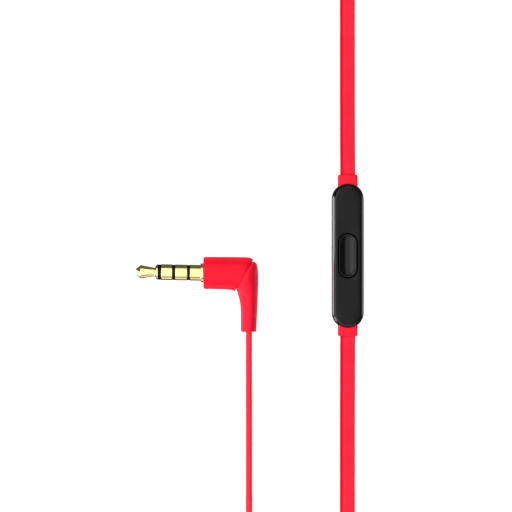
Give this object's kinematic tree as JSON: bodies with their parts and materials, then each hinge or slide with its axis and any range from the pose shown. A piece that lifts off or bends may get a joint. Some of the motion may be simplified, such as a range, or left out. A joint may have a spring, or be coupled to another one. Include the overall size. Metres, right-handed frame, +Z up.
{
  "type": "wired earphones",
  "caption": "In-ear earphones on a flat red cord, with an in-line remote, a Y splitter and a right-angled four-pole 3.5 mm plug, the spare cord tied in a hank.",
  "frame": {"origin": "on the surface the earphones lie on, under the middle of the two earbuds", "axes": "+Z up from that surface; +X from the right earbud to the left one, against the way the plug's pin points; +Y along the remote, towards the earbuds"},
  "size_m": [0.1001, 0.2004, 0.0196],
  "materials": {
    "gold": "polished gold plate",
    "insulator": "smooth black plastic",
    "clear_mould": "milky plastic",
    "red_shell": "smooth satin plastic",
    "red_rubber": "soft satin rubber",
    "red_cord": "soft satin rubber",
    "black_gloss": "gloss",
    "black_button": "gloss",
    "circuit_board": "solder resist",
    "steel": "bright stamped steel",
    "magnet": "nickel plate",
    "copper": "wound copper",
    "film": "thin pressed film",
    "red_metal": "anodised, turned",
    "ear_tip": "matt silicone",
    "strap": "woven hook-and-loop strap"
  },
  "bodies": {
    "earphones": {"branch_cords_hank": "red_cord", "cable_tie": "strap", "left_cord": "red_cord", "left_driver_frame": "black_button", "left_driver_magnet": "magnet", "left_driver_top_plate": "steel", "left_driver_yoke": "steel", "left_front_housing": "black_gloss", "left_nozzle_mesh": "steel", "left_rear_cover": "black_gloss", "left_strain_relief": "red_rubber", "left_trim_ring": "red_metal", "main_cord": "red_cord", "main_cord_crossing": "red_cord", "main_cord_hank": "red_cord", "main_cord_tail": "red_cord", "plug_elbow": "red_rubber", "plug_housing": "red_shell", "plug_inner_mould": "clear_mould", "plug_insulator_1": "insulator", "plug_insulator_2": "insulator", "plug_insulator_3": "insulator", "plug_ring_1": "gold", "plug_ring_2": "gold", "plug_sleeve": "gold", "plug_tip": "gold", "remote_back_cover": "black_gloss", "remote_circuit_board": "circuit_board", "remote_collar_bottom": "red_rubber", "remote_collar_top": "red_rubber", "remote_front_cover": "black_gloss", "remote_microphone": "steel", "remote_switch_body": "steel", "right_cord_lower": "red_cord", "right_cord_lower_bend": "red_cord", "right_cord_upper": "red_cord", "right_cord_upper_bend": "red_cord", "right_driver_frame": "black_button", "right_driver_magnet": "magnet", "right_driver_top_plate": "steel", "right_driver_yoke": "steel", "right_front_housing": "black_gloss", "right_nozzle_mesh": "steel", "right_rear_cover": "black_gloss", "right_strain_relief": "red_rubber", "right_trim_ring": "red_metal", "splitter_back_cover": "black_gloss", "splitter_collar_branches": "red_rubber", "splitter_collar_main": "red_rubber", "splitter_front_cover": "black_gloss"},
    "button": {"remote_button": "black_button"},
    "plunger": {"remote_switch_plunger": "black_button"},
    "left_tip": {"left_ear_tip": "ear_tip"},
    "right_tip": {"right_ear_tip": "ear_tip"},
    "left_moving_coil": {"left_diaphragm": "film", "left_voice_coil": "copper"},
    "right_moving_coil": {"right_diaphragm": "film", "right_voice_coil": "copper"}
  },
  "joints": [
    {"name": "remote_button_press", "type": "slide", "parent": "earphones", "child": "button", "axis": [0, 0, -1], "range_m": [0, 0.00025], "stiffness_N_per_m": 4000},
    {"name": "switch_plunger_press", "type": "slide", "parent": "earphones", "child": "plunger", "axis": [0, 0, -1], "range_m": [0, 0.00025]},
    {"name": "left_ear_tip_pull", "type": "slide", "parent": "earphones", "child": "left_tip", "axis": [0, 0.4226, 0.9063], "range_m": [0, 0.008]},
    {"name": "right_ear_tip_pull", "type": "slide", "parent": "earphones", "child": "right_tip", "axis": [0, 0.4226, 0.9063], "range_m": [0, 0.008]},
    {"name": "left_diaphragm_travel", "type": "slide", "parent": "earphones", "child": "left_moving_coil", "axis": [0, 0, 1], "range_m": [-0.0002, 0.0002], "stiffness_N_per_m": 500},
    {"name": "right_diaphragm_travel", "type": "slide", "parent": "earphones", "child": "right_moving_coil", "axis": [0, 0, 1], "range_m": [-0.0002, 0.0002], "stiffness_N_per_m": 500}
  ],
  "couplings": [
    {"joint": "switch_plunger_press", "follows": "remote_button_press", "ratio": 1}
  ]
}
